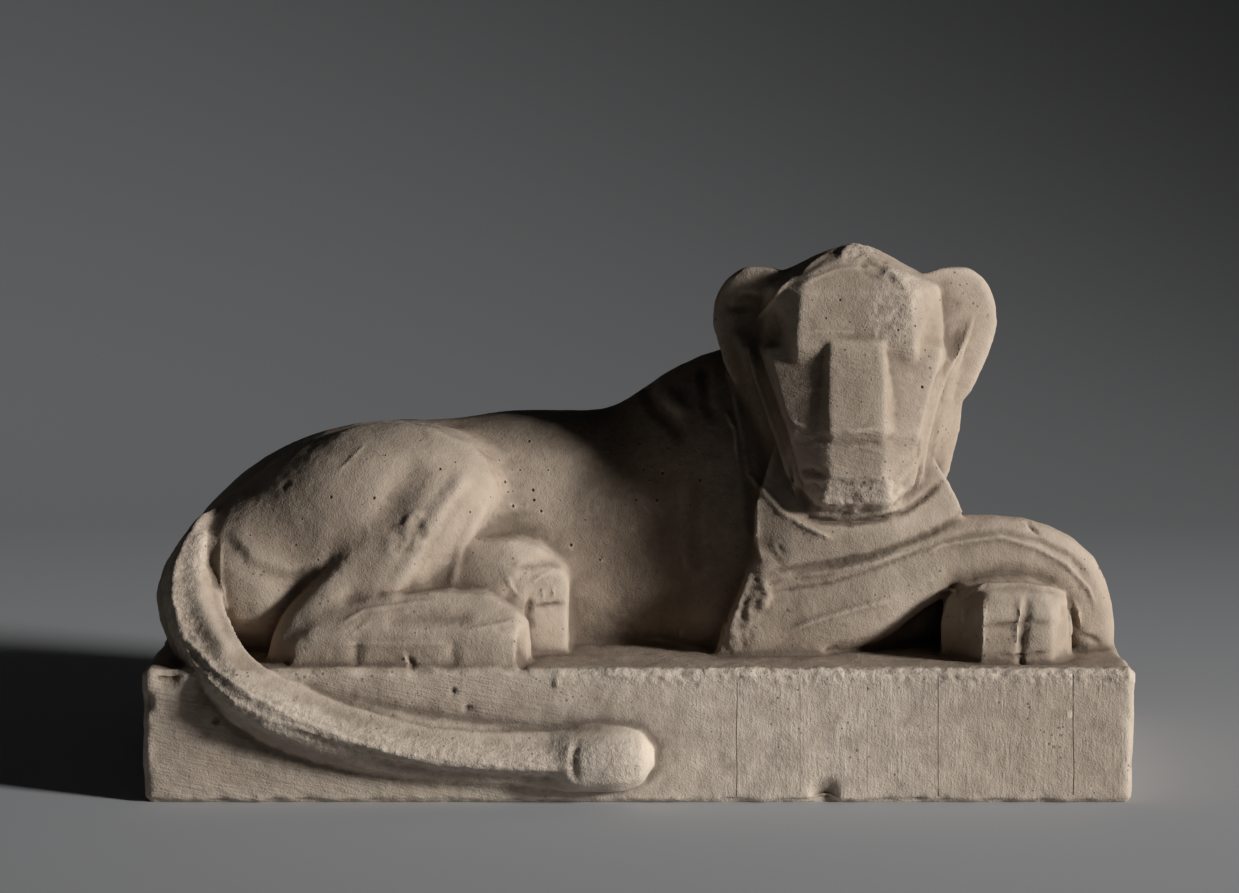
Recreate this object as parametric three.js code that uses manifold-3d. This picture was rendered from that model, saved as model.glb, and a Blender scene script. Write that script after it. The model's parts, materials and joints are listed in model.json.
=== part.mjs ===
// A recumbent lion carved in one block with its plinth, its head turned to the front and its tail
// carried down over the plinth's front face. Millimetres, +Z up, +X towards the lion's chest, -Y the
// front. The origin is the centre of the plinth's underside.
import * as THREE from "three";
import { ConvexGeometry } from "three/addons/geometries/ConvexGeometry.js";
import { mergeVertices } from "three/addons/utils/BufferGeometryUtils.js";
import Module from "manifold-3d";

// Driving sizes
const plinthLength = 377;
const plinthDepth = 160;
const plinthHeight = 52;
const plinthEdge = 2; // worn chamfer all round the plinth
const lionLength = 375; // rump to foreleg; the pose and all its parts are shares of it
const tailRelief = 13; // how far the tail stands out from the plinth's front face
const toeLine = 3.2; // width of the lines cut between toes
const toeLineDepth = 2.2;

// The pose is laid out on a lion of this length, with x and y from the plinth's centre and h above
// the plinth's top. place() brings a point of that layout to the length asked for.
const layoutLength = 375;
const k = lionLength / layoutLength;
const place = ([x, y, h]) => new THREE.Vector3(x * k, y * k, plinthHeight + h * k);
const sunk = -8; // how deep the figure's forms run down into the plinth, so that they join it

const wasm = await Module();
wasm.setup();

// Closed geometry to solid, and solid back to geometry
function solid(geometry) {
  const bare = new THREE.BufferGeometry().setAttribute("position", geometry.getAttribute("position"));
  if (geometry.index) bare.setIndex(geometry.index);
  const merged = mergeVertices(bare, 1e-4);
  return new wasm.Manifold(
    new wasm.Mesh({
      numProp: 3,
      vertProperties: new Float32Array(merged.attributes.position.array),
      triVerts: new Uint32Array(merged.index.array),
    }),
  );
}

function geometryOf(made) {
  const mesh = made.getMesh();
  const geometry = new THREE.BufferGeometry();
  geometry.setAttribute("position", new THREE.BufferAttribute(mesh.vertProperties, 3));
  geometry.setIndex(new THREE.BufferAttribute(mesh.triVerts, 1));
  const flat = geometry.toNonIndexed();
  flat.computeVertexNormals();
  return flat;
}

const join = (solids) => solids.reduce((a, b) => a.add(b));
const cut = (from, tools) => tools.reduce((a, b) => a.subtract(b), from);

// A plane-faced block: the convex hull of a few corners
const block = (corners) => solid(new ConvexGeometry(corners.map(place)));

// The same corner on both sides of a middle line at x = middle
const bothSides = (middle, corners) =>
  corners.flatMap(([side, y, h]) => [[middle - side, y, h], [middle + side, y, h]]);

// A skin of rings of equal length, closed by a point at each end
function skin(rings, startPoint, endPoint) {
  const sides = rings[0].length;
  const points = [startPoint, ...rings.flat(), endPoint];
  const last = points.length - 1;
  const at = (ring, side) => 1 + ring * sides + (side % sides);
  const faces = [];
  for (let s = 0; s < sides; s++) {
    faces.push(0, at(0, s + 1), at(0, s));
    faces.push(last, at(rings.length - 1, s), at(rings.length - 1, s + 1));
    for (let r = 0; r + 1 < rings.length; r++) {
      faces.push(at(r, s), at(r, s + 1), at(r + 1, s + 1));
      faces.push(at(r, s), at(r + 1, s + 1), at(r + 1, s));
    }
  }
  const geometry = new THREE.BufferGeometry().setFromPoints(points);
  geometry.setIndex(faces);
  const made = solid(geometry);
  return made.volume() > 0 ? made : null;
}

// A limb swept through stations. Each one has its centre, the way its outer face looks, its half
// width across and its half thickness outwards. Squareness 2 is round, more is boxier, and less
// draws the section to a ridge along its outer face, where ridged also puts a corner.
function limb(stations, { sides = 12, squareness = 2.6, steps = 4, ridged = false } = {}) {
  const spread = (name) =>
    new THREE.CatmullRomCurve3(stations.map((s) => new THREE.Vector3(...s[name])), false, "centripetal");
  const path = spread("at");
  const outward = new THREE.CatmullRomCurve3(stations.map((s) => new THREE.Vector3(...s.out)));
  const sizes = new THREE.CatmullRomCurve3(
    stations.map((s) => new THREE.Vector3(s.across, s.thick, s.squareness ?? squareness)),
    false, "catmullrom", 0.3);
  const count = (stations.length - 1) * steps;
  const rings = [];
  for (let i = 0; i <= count; i++) {
    const t = i / count;
    const centre = path.getPoint(t);
    const along = path.getTangent(t);
    const out = outward.getPoint(t);
    out.addScaledVector(along, -out.dot(along)).normalize();
    const side = new THREE.Vector3().crossVectors(along, out);
    const size = sizes.getPoint(t);
    rings.push(
      Array.from({ length: sides }, (_, s) => {
        const angle = ((s + (ridged ? 0 : 0.5)) / sides) * 2 * Math.PI;
        const round = (v) => Math.sign(v) * Math.abs(v) ** (2 / size.z);
        return centre
          .clone()
          .addScaledVector(out, round(Math.cos(angle)) * size.y)
          .addScaledVector(side, round(Math.sin(angle)) * size.x);
      }).map((p) => place(p.toArray())),
    );
  }
  return skin(rings, place(path.getPoint(0).toArray()), place(path.getPoint(1).toArray()));
}

// A V-shaped line cut from a to b on a surface that looks along out
function groove(a, b, out, width, depth) {
  const from = new THREE.Vector3(...a);
  const to = new THREE.Vector3(...b);
  const outward = new THREE.Vector3(...out).normalize();
  const side = new THREE.Vector3().subVectors(to, from).cross(outward).normalize();
  const corner = (p, sideways, outwards) =>
    p.clone().addScaledVector(side, sideways).addScaledVector(outward, outwards).toArray();
  return block(
    [from, to].flatMap((p) => [
      corner(p, -width / 2, 0.2),
      corner(p, width / 2, 0.2),
      corner(p, -width, depth),
      corner(p, width, depth),
      corner(p, 0, -depth),
    ]),
  );
}

// The plinth, a block with worn edges
function plinth() {
  const [x, y, z] = [plinthLength / 2, plinthDepth / 2, plinthHeight];
  const corners = [];
  for (const sx of [-1, 1])
    for (const sy of [-1, 1])
      for (const [low, face] of [[0, 1], [z, -1]]) {
        corners.push([sx * (x - plinthEdge), sy * (y - plinthEdge), low]);
        corners.push([sx * x, sy * (y - plinthEdge), low + face * plinthEdge]);
        corners.push([sx * (x - plinthEdge), sy * y, low + face * plinthEdge]);
      }
  return solid(new ConvexGeometry(corners.map((c) => new THREE.Vector3(...c))));
}

// The body is one smooth form: masses that melt into each other. An egg has its middle, its half
// sizes and how many degrees it tips in the side view, and a standing one drops straight down from
// its middle. A bone runs between two points and has a radius at each. melt is how widely a mass
// blends in.
const masses = [
  { name: "barrel", at: [-35, 14, 22], half: [120, 44, 66], melt: 14, standing: true },
  { name: "rump", at: [-130, 14, 30], half: [64, 46, 44], tip: 33, melt: 18 },
  { name: "near haunch", at: [-112, -18, 41], half: [62, 38, 42], tip: 24, melt: 8 },
  { name: "near knee", at: [-80, -19, 59], half: [22, 26, 19], tip: 30, melt: 12 },
  { name: "near buttock", at: [-149, -22, 26], half: [31, 37, 33], tip: 40, melt: 8 },
  { name: "far haunch", at: [-108, 44, 34], half: [60, 28, 44], tip: 22, melt: 10 },
  { name: "far shank", from: [-76, 52, 44], to: [-132, 58, 4], radii: [20, 13], melt: 10 },
  { name: "chest", at: [76, 4, 28], half: [56, 48, 52], melt: 16, standing: true },
  { name: "near shoulder", at: [54, -3, 42], half: [48, 38, 68], tip: -6, melt: 26, standing: true },
  { name: "far shoulder", at: [72, 36, 44], half: [46, 32, 54], tip: 10, melt: 16 },
  { name: "withers", at: [34, 14, 74], half: [44, 34, 36], tip: 30, melt: 20 },
  { name: "near upper arm", from: [40, -12, 64], to: [40, -22, 14], radii: [17, 13], melt: 18 },
  { name: "neck", at: [82, 0, 92], half: [42, 40, 56], melt: 14 },
];

const radians = THREE.MathUtils.degToRad;
function distanceToEgg(mass, p) {
  const [dx, dy, dh] = [p[0] - mass.at[0], p[1] - mass.at[1], p[2] - mass.at[2]];
  const [c, s] = [Math.cos(radians(mass.tip ?? 0)), Math.sin(radians(mass.tip ?? 0))];
  const local = [dx * c + dh * s, dy, dh * c - dx * s];
  if (mass.standing) local[2] = Math.max(local[2], 0);
  const far = Math.hypot(...local.map((v, i) => v / mass.half[i]));
  const slope = Math.hypot(...local.map((v, i) => v / mass.half[i] ** 2));
  return (far * (far - 1)) / Math.max(slope, 1e-9);
}

function distanceToBone(mass, p) {
  const [from, to, point] = [mass.from, mass.to, p].map((v) => new THREE.Vector3(...v));
  const length = to.distanceTo(from);
  const way = to.sub(from).divideScalar(length);
  const share = THREE.MathUtils.clamp(point.clone().sub(from).dot(way) / length, 0, 1);
  const radius = THREE.MathUtils.lerp(mass.radii[0], mass.radii[1], share);
  return point.distanceTo(from.addScaledVector(way, share * length)) - radius;
}

function bodyField(p) {
  let least = 1e3;
  for (const mass of masses) {
    const d = mass.radii ? distanceToBone(mass, p) : distanceToEgg(mass, p);
    const overlap = Math.max(mass.melt - Math.abs(least - d), 0) / mass.melt;
    least = Math.min(least, d) - (overlap * overlap * mass.melt) / 4;
  }
  return least;
}

// Rays leave a spine inside the body and stop where they come out of it for good
function body() {
  const spine = { from: -128, to: 84, y: 8, h: 30 };
  const reach = 150;
  const sides = 46;
  const fan = 11; // rings round each end
  const straight = 38; // rings along the spine
  const surfaceAlong = (origin, way) => {
    const point = (r) => origin.map((v, i) => v + way[i] * r);
    let outside = reach;
    while (outside > 4 && bodyField(point(outside)) > 0) outside -= 2;
    let [low, high] = [outside, outside + 2];
    for (let i = 0; i < 12; i++) {
      const middle = (low + high) / 2;
      if (bodyField(point(middle)) > 0) high = middle;
      else low = middle;
    }
    const found = point(low);
    found[2] = Math.max(found[2], sunk);
    return place(found);
  };
  // The rays of a ring leave out the stretch that lies inside the plinth
  const turns = Array.from({ length: sides }, (_, s) =>
    s < sides - 1 ? radians(THREE.MathUtils.lerp(-52, 232, s / (sides - 2))) : radians(270));
  const ringAt = (x, lean) =>
    turns.map((turn) => surfaceAlong(
      [x, spine.y, spine.h],
      [Math.sin(lean), Math.cos(lean) * Math.cos(turn), Math.cos(lean) * Math.sin(turn)],
    ));
  const rings = [];
  for (let i = fan; i >= 1; i--) rings.push(ringAt(spine.from, -(i / (fan + 0.7)) * (Math.PI / 2)));
  for (let i = 0; i <= straight; i++)
    rings.push(ringAt(THREE.MathUtils.lerp(spine.from, spine.to, i / straight), 0));
  for (let i = 1; i <= fan; i++) rings.push(ringAt(spine.to, (i / (fan + 0.7)) * (Math.PI / 2)));
  const ends = [-1, 1].map((way) =>
    surfaceAlong([way < 0 ? spine.from : spine.to, spine.y, spine.h], [way, 0, 0]));
  return skin(rings, ends[0], ends[1]);
}

// The near hind leg's shank runs down from the high knee to the heel
function nearShank() {
  return limb(
    [
      { at: [-66, -22, 66], out: [0.45, -0.9, 0.3], across: 15, thick: 15 },
      { at: [-76, -33, 56], out: [0.35, -0.9, 0.25], across: 19, thick: 19 },
      { at: [-95, -45, 37], out: [0.3, -0.95, 0.15], across: 19, thick: 18 },
      { at: [-120, -54, 18], out: [0.15, -1, 0.1], across: 13, thick: 14 },
      { at: [-131, -59, 5], out: [0, -1, 0], across: 11, thick: 13 },
      { at: [-133, -60, sunk], out: [0, -1, 0], across: 10, thick: 12 },
    ],
    { sides: 12, squareness: 2.2, steps: 3 },
  );
}

// The near hind foot lies flat along the plinth's front edge
function nearHindFoot() {
  return block([
    [-132, -74, sunk], [-46, -78, sunk], [-132, -74, 8], [-126, -75, 13], [-46, -78, 11],
    [-108, -75, 15], [-56, -77, 14.5], [-122, -66, 20], [-104, -66, 24.5], [-80, -66, 27], [-58, -65, 26],
    [-46, -68, 20], [-42, -64, 16], [-41, -66, 8], [-41, -66, sunk],
    [-132, -40, sunk], [-44, -44, sunk], [-108, -40, 24], [-60, -44, 27], [-45, -48, 18],
  ]);
}

// The far hind foot comes out from under the belly
function farHindFoot() {
  const instep = block([
    [-82, -42, 38], [-66, -46, 43], [-50, -45, 44], [-38, -42, 40], [-30, -38, 34],
    [-82, -55, 24], [-54, -58, 24], [-46, -52, 34], [-45, -56, 14], [-45, -54, sunk], [-82, -55, sunk],
    [-80, -8, 42], [-36, -8, 42], [-80, -8, sunk], [-30, -8, sunk],
  ]);
  const toes = block([
    [-46, -57, 6], [-46, -56, 24], [-43, -51, 34], [-30, -46, 33], [-27, -47, 27], [-27, -50, 4],
    [-45, -55, sunk], [-28, -49, sunk], [-27, -8, sunk], [-28, -8, 34], [-44, -8, 36],
  ]);
  return [instep, toes];
}

// The near foreleg lies along the plinth, rises over the other one and hangs down at the end
function nearForeleg() {
  const elbow = block([
    [30, -52, sunk], [30, -52, 1], [34, -54, 8], [38, -53, 20], [44, -51, 36], [58, -51, 34],
    [46, -54, 20], [44, -55, 8], [44, -55, sunk], [72, -52, sunk], [72, -53.5, 6], [66, -54.5, 16],
    [34, -14, sunk], [44, -14, 36], [60, -14, 34], [72, -14, sunk],
  ]);
  const forearm = limb(
    [
      { at: [50, -33, 10], out: [-0.05, -1, 0.15], across: 16, thick: 18 },
      { at: [64, -34, 15], out: [0, -1, 0.2], across: 20, thick: 21 },
      { at: [86, -34, 22], out: [0, -1, 0.2], across: 21.5, thick: 21 },
      { at: [104, -34, 30.5], out: [0, -1, 0.2], across: 18, thick: 20 },
      { at: [122, -34, 37], out: [0, -1, 0.2], across: 14.5, thick: 18 },
      { at: [148, -34, 38.5], out: [0.1, -1, 0.2], across: 12.5, thick: 16 },
      { at: [168, -32, 28], out: [0.25, -1, 0.1], across: 12.5, thick: 15 },
      { at: [175, -29, 9], out: [0.3, -1, 0], across: 11.5, thick: 15 },
      { at: [175.5, -27, sunk], out: [0.3, -1, 0], across: 10, thick: 14 },
    ],
    { sides: 12, squareness: 3, steps: 3 },
  );
  return [elbow, forearm];
}

// The far foreleg comes forward round the chest, and its paw faces the front under the arch
function farForeleg() {
  const forearm = limb(
    [
      { at: [66, 36, 14], out: [0, 1, 0.2], across: 18, thick: 20 },
      { at: [112, 48, 15], out: [0.3, 1, 0.2], across: 17, thick: 19 },
      { at: [140, 30, 14], out: [1, 0.6, 0.2], across: 16, thick: 19 },
      { at: [147, 0, 13], out: [1, 0, 0.2], across: 15, thick: 19 },
      { at: [143, -46, 12], out: [1, 0, 0.2], across: 14, thick: 20 },
    ],
    { sides: 12, squareness: 2.6, steps: 3 },
  );
  const paw = block([
    [131, -70, sunk], [158, -70, sunk], [131, -70, 20], [158, -69, 20], [134, -66, 27], [156, -65, 26],
    [118, -56, sunk], [167, -58, sunk], [117, -55, 13], [119, -54, 21], [168, -58, 12], [166, -58, 22],
    [124, -52, 28], [162, -52, 26], [140, -50, 31], [152, -50, 30],
    [120, -30, sunk], [168, -30, sunk], [122, -30, 26], [165, -30, 27],
  ]);
  return [forearm, paw];
}

// The head, plane by plane, about a middle line. A corner is [sideways, y, h].
const headMiddle = 83.5;
function head() {
  const pair = (corners) => bothSides(headMiddle, corners);
  const skull = block(
    pair([
      [22.5, -51, 119], [21, -47, 140], [17, -42, 147.5], [9, -39, 151], [33, -38, 142], [35, -36, 122],
      [24, -24, 148], [40, 2, 138], [42, 6, 112], [36, 14, 100], [22, 20, 138], [10, -31, 153],
      [20, -47.3, 103], [27.5, -44, 105], [9, -27, 156],
    ]).concat([[headMiddle, -28, 158.6], [headMiddle, 16, 150]]),
  );
  const face = block(
    pair([
      [11, -50, 122], [34, -44, 119], [14, -58, 86], [25, -54.5, 86], [27, -44, 62], [15, -47, 56],
      [38.5, -24, 118], [39, -22, 92], [35, -30, 68], [42, 6, 118], [42, 6, 84], [30, 0, 56],
    ]),
  );
  const nose = block(
    pair([
      [10.3, -52.5, 122], [10.3, -61.5, 88], [9.6, -60, 84.5],
      [12, -47, 121], [15.5, -57, 88], [14, -50, 82],
    ]),
  );
  const muzzle = block(
    pair([
      [10.3, -59.5, 84.5], [10.3, -61, 71], [26, -52.5, 84], [23.5, -50.5, 66], [16, -40, 60], [12, -58, 69],
    ]),
  );
  const chin = block(pair([[11, -60, 70], [13, -58, 60], [10, -53, 56], [23.5, -49.5, 67], [18, -43, 57]]));
  return [skull, face, nose, muzzle, chin];
}

// The hood of mane frames the face from the ears down and closes under the chin
function hood() {
  return block(
    bothSides(headMiddle, [
      [46, -26, 122], [39, -34, 112], [44, -22, 100], [43.5, -22, 84], [33, -38, 84], [39.5, -25, 68],
      [35, -27, 58], [28, -43, 62], [24, -46, 55], [15, -53, 56], [15, -51, 48], [46, 8, 122],
      [44, 10, 86], [36, 8, 60], [12, 6, 44],
    ]),
  );
}

// An ear is a hollowed leaf: a rounded rim with a dished face
const earMiddle = headMiddle + 2;
function ear(side) {
  const x = (across) => earMiddle + side * across;
  const filled = side > 0 ? 1.6 : 0; // the ear on the chest's side is dished less
  const leaf = block([
    [x(24), -30, 146], [x(33), -27, 148.5], [x(43), -25, 149], [x(51), -23, 144], [x(56), -21, 135],
    [x(57), -21, 125], [x(53), -23, 114], [x(46), -26, 100], [x(38), -27, 92], [x(30), -31, 118],
    [x(24), -12, 142], [x(34), -8, 147], [x(44), -8, 147], [x(52), -10, 140], [x(54), -10, 126],
    [x(50), -10, 112], [x(40), -8, 92],
  ]);
  const dish = block([
    [x(33), -40, 142], [x(43), -40, 144], [x(51), -40, 136], [x(50), -40, 122], [x(42), -40, 112],
    ...[[36, -27, 139], [43, -24, 140], [48, -23, 133], [46, -24, 124], [40, -27, 118]]
      .map(([across, y, h]) => [x(across), y - filled, h]),
  ]);
  return leaf.subtract(dish);
}

// The chest's front, drawn across like a collar above the foreleg
function bib() {
  return block([
    [45, -51, 38], [58, -52, 32.5], [100, -51, 43.5], [127, -46, 55],
    [46, -49, 60], [54, -43, 84], [112, -40, 80], [121, -41, 66], [72, -54, 47], [100, -53, 50],
    [45, -10, 30], [118, -10, 40], [60, -10, 84], [108, -10, 80],
  ]);
}

// The tail leaves the rump, wraps the plinth's corner and runs along its front face to a round tip
function tail() {
  const front = -plinthDepth / 2 / k; // the front face, in the layout's own units
  const top = plinthHeight / k; // h of the floor is -top
  const down = (share) => -share * top;
  const relief = tailRelief / k;
  return limb(
    [
      { at: [-156, -10, 47], out: [-0.5, -1, 0.6], across: 7, thick: 8 },
      { at: [-168, -33, 41], out: [-0.5, -1, 0.4], across: 11, thick: 13 },
      { at: [-174, -50, 26], out: [-0.3, -1, 0.2], across: 14.5, thick: 14 },
      { at: [-166, -65, 6], out: [-0.4, -1, 0], across: 14.5, thick: 14 },
      { at: [-148, front, down(0.2)], out: [-0.2, -1, 0], across: 13.5, thick: relief },
      { at: [-118, front, down(0.45)], out: [0, -1, 0], across: 14, thick: relief },
      { at: [-72, front, down(0.61)], out: [0, -1, 0], across: 13.5, thick: relief },
      { at: [-34, front, down(0.67)], out: [0, -1, 0], across: 12, thick: relief * 0.85, squareness: 1.4 },
      { at: [-24, front, down(0.67)], out: [0, -1, 0], across: 12.5, thick: relief, squareness: 2.1 },
      { at: [-8, front, down(0.66)], out: [0, -1, 0], across: 13, thick: relief * 1.05, squareness: 2.2 },
      { at: [1, front, down(0.65)], out: [0, -1, 0], across: 10.5, thick: relief * 0.9, squareness: 2.1 },
      { at: [6, front, down(0.65)], out: [0, -1, 0], across: 4, thick: relief * 0.4, squareness: 2 },
    ],
    { sides: 12, squareness: 1.2, steps: 3, ridged: true },
  );
}

// Lines between the toes, each from one end to the other on a face that looks along out
function toeLines() {
  const line = (a, b, out) => groove(a, b, out, toeLine, toeLineDepth);
  return [
    line([146, -70, -1], [146, -70, 24], [0, -1, 0]),
    line([129, -70, 14.5], [160, -70, 14.5], [0, -1, 0]),
    line([-70, -77.5, 0.5], [-70, -77, 11], [0, -1, 0]),
    line([-107, -75.5, 0.5], [-107, -75.5, 11], [0, -1, 0]),
    line([-45, -56, 19], [-27, -48.5, 19], [0.4, -0.9, 0]),
  ];
}

const carved = join([
  plinth(),
  body(),
  nearShank(),
  nearHindFoot(),
  ...farHindFoot(),
  ...nearForeleg(),
  ...farForeleg(),
  ...head(),
  hood(),
  ear(-1),
  ear(1),
  bib(),
  tail(),
]);
const lion = cut(carved, toeLines());

const stone = new THREE.MeshStandardMaterial({ color: 0xb3a692, roughness: 0.9, metalness: 0 });
const statuette = new THREE.Mesh(geometryOf(lion), stone);
statuette.name = "lion_on_plinth";
const part = new THREE.Group();
part.add(statuette);

export default part;
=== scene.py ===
# %% [markdown]
# # A recumbent lion in soft stone
# This lesson dresses one carved block: a lion, its plinth and its tail are one piece of pale, pitted
# stone. The solid gives the true size and pose. Here its planes are worn, its surface gets the marks
# of the carver's rasp and point, and its stone gets pits, rubbed edges and dirt in the hollows.
# %% Load the solid
import json
import math

import bmesh
import bpy
import numpy as np
from mathutils import Matrix, Vector

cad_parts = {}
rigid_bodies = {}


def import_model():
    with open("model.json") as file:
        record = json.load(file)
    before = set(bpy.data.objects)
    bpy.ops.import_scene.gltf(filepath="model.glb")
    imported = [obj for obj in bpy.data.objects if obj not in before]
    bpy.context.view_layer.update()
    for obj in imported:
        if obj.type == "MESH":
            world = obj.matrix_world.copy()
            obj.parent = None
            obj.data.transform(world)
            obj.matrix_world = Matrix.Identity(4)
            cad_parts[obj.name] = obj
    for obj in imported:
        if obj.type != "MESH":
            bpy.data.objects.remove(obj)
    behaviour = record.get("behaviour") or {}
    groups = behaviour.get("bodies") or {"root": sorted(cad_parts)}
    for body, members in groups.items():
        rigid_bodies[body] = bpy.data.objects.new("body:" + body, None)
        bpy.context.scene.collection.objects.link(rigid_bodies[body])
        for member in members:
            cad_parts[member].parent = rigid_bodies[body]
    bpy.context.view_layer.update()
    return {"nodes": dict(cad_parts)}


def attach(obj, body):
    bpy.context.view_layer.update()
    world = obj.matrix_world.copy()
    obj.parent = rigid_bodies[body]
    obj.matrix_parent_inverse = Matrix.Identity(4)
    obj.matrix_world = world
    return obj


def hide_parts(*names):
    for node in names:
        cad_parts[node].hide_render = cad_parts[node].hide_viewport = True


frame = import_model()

solid = frame["nodes"]["lion_on_plinth"]
MM = 0.001
PLINTH_LENGTH, PLINTH_DEPTH, PLINTH_TOP = 377, 160, 52  # millimetres

# %% [markdown]
# ## The camera
# It could be placed by eye. The plinth's front is a rectangle of known size, so its two ends and its
# height fix the distance and the tilt, and the camera gets these as plain numbers. It looks slightly
# down on the lion from about its ears' height. Standard colour keeps the stone's own contrast.
# %% Set up the camera
PHOTO_WIDTH, PHOTO_HEIGHT = 1239, 893
camera = bpy.data.objects.new("camera", bpy.data.cameras.new("camera"))
bpy.context.scene.collection.objects.link(camera)
camera.data.lens = 86.6
camera.data.sensor_width = 36
camera.data.clip_start = 0.05
camera.location = (-0.0072, -1.188, 0.283)
camera.rotation_euler = (math.radians(90 - 7.5), 0, 0)
bpy.context.scene.camera = camera
bpy.context.scene.view_settings.view_transform = "Standard"
print("The camera stands", round(-camera.location.y, 2), "m in front of the plinth's middle")

# %% [markdown]
# ## One clean skin
# The solid arrives as loose triangles with crisp, flat facets. It could be subdivided, but that keeps
# every facet edge. A voxel remesh gives an even skin of small squares over the whole block instead,
# as clay pressed over it would be, and an even skin takes tool marks the same way everywhere.
# %% Copy and remesh the solid
VOXEL = 1.0 * MM


def take(piece):
    bpy.ops.object.select_all(action="DESELECT")
    piece.select_set(True)
    bpy.context.view_layer.objects.active = piece


def modify(piece, kind, **settings):
    take(piece)
    modifier = piece.modifiers.new(kind.lower(), kind)
    for name, value in settings.items():
        setattr(modifier, name, value)
    bpy.ops.object.modifier_apply(modifier=modifier.name)


lion = bpy.data.objects.new("carved_lion", solid.data.copy())
bpy.context.scene.collection.objects.link(lion)
lion.data.materials.clear()
take(lion)
bpy.ops.object.mode_set(mode="EDIT")
bpy.ops.mesh.select_all(action="SELECT")
bpy.ops.mesh.remove_doubles(threshold=0.01 * MM)
bpy.ops.object.mode_set(mode="OBJECT")
modify(lion, "REMESH", mode="VOXEL", voxel_size=VOXEL)
print("The skin has", len(lion.data.vertices), "points")

# %% [markdown]
# ## Where each tool went
# The carver rounded the body and left the head and paws in flat planes. A painted weight per point
# says how much of a finish each place gets. It is painted in code, by distance from a few middle
# points, so the same brush works on the haunch and on the flank.
# %% Paint weights by place


def read(name, count=3):
    flat = np.empty(len(lion.data.vertices) * count, np.float32)
    lion.data.vertices.foreach_get(name, flat)
    return flat.reshape(-1, count).astype(float)


def places():
    """Points in millimetres: x and y from the plinth's centre, h above its top."""
    return read("co") / MM - (0, 0, PLINTH_TOP)


def ease(values, start, end):
    """0 before start, 1 past end, and a soft step between."""
    t = np.clip((values - start) / (end - start), 0, 1)
    return t * t * (3 - 2 * t)


def near(spots, radius, *centres):
    """1 within radius of a line through the centres, falling to 0 at half as far again."""
    least = np.full(len(spots), 1e9)
    centres = [np.array(c, float) for c in centres]
    for a, b in zip(centres, centres[1:] or centres):
        along = b - a
        share = np.clip((spots - a) @ along / max(along @ along, 1e-9), 0, 1)
        least = np.minimum(least, np.linalg.norm(spots - a - share[:, None] * along, axis=1))
    return 1 - ease(least, radius, radius * 1.5)


def paint(name, weights, steps=40):
    group = lion.vertex_groups.get(name) or lion.vertex_groups.new(name=name)
    level = np.round(np.clip(weights, 0, 1) * steps).astype(int)
    for step in range(1, steps + 1):
        group.add(np.nonzero(level == step)[0].tolist(), step / steps, "REPLACE")
    return name


spots = places()
figure = ease(spots[:, 2], 0, 4)
head = near(spots, 44, (84, -30, 140), (84, -36, 70))
forelegs = near(spots, 24, (50, -40, 12), (120, -40, 34), (160, -40, 34), (172, -36, 0))
paws = np.maximum(near(spots, 26, (143, -46, 10)), near(spots, 22, (-128, -66, 6), (-50, -66, 10)))
paws = np.maximum(paws, near(spots, 22, (-50, -46, 18)))
tail = near(spots, 15, (-162, -22, 46), (-168, -33, 41), (-174, -50, 26), (-166, -65, 6), (-150, -80, -8))
ears = np.maximum(near(spots, 24, (40, -20, 124)), near(spots, 24, (132, -20, 124)))
elbow_seam = near(spots, 8, (50, -50, 36), (64, -52, 34), (58, -55, 6))
rounded = figure * (1 - np.maximum.reduce([head, 0.9 * paws, 0.95 * tail, 0.75 * forelegs]))
toe_lines = near(spots, 4, (-107, -76, 0), (-107, -76, 11))
toe_lines = toe_lines + near(spots, 4, (-70, -77, 0), (-70, -77, 11))
toe_lines = toe_lines + near(spots, 4, (-45, -56, 19), (-27, -48.5, 19))
heel = near(spots, 9, (-127, -68, 4), (-123, -66, 20))
collar = near(spots, 5, (48, -51, 36), (100, -51, 44), (122, -46, 53))
nose_root = near(spots, 7, (74, -50, 123), (94, -50, 123))
softer = [0.25 * ears, 0.85 * elbow_seam, 0.45 * toe_lines, 0.6 * heel, 0.35 * collar,
          0.12 * nose_root]
rounded = np.maximum(rounded, figure * np.maximum.reduce(softer))
paint("rounded", rounded)
above_ground = ease(spots[:, 2], -PLINTH_TOP + 0.3, -PLINTH_TOP + 2)
paint("all over", above_ground)
print("Rounded body:", round(float(rounded.mean()) * 100), "% of the skin")

# %% [markdown]
# ## Wear the forms
# A worn edge could be a bevel, but here every edge is worn, and the body's edges are gone altogether.
# Smoothing moves each point towards its neighbours, so a few passes soften every arris and many
# passes, with the painted weight, melt the facets of the body into round flesh.
# %% Smooth the body and soften the edges
BODY_PASSES, EDGE_PASSES = 110, 3
modify(lion, "SMOOTH", factor=0.5, iterations=BODY_PASSES, vertex_group="rounded")
modify(lion, "SMOOTH", factor=0.5, iterations=EDGE_PASSES, vertex_group="all over")
print("Smoothed", len(lion.data.vertices), "points")

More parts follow.
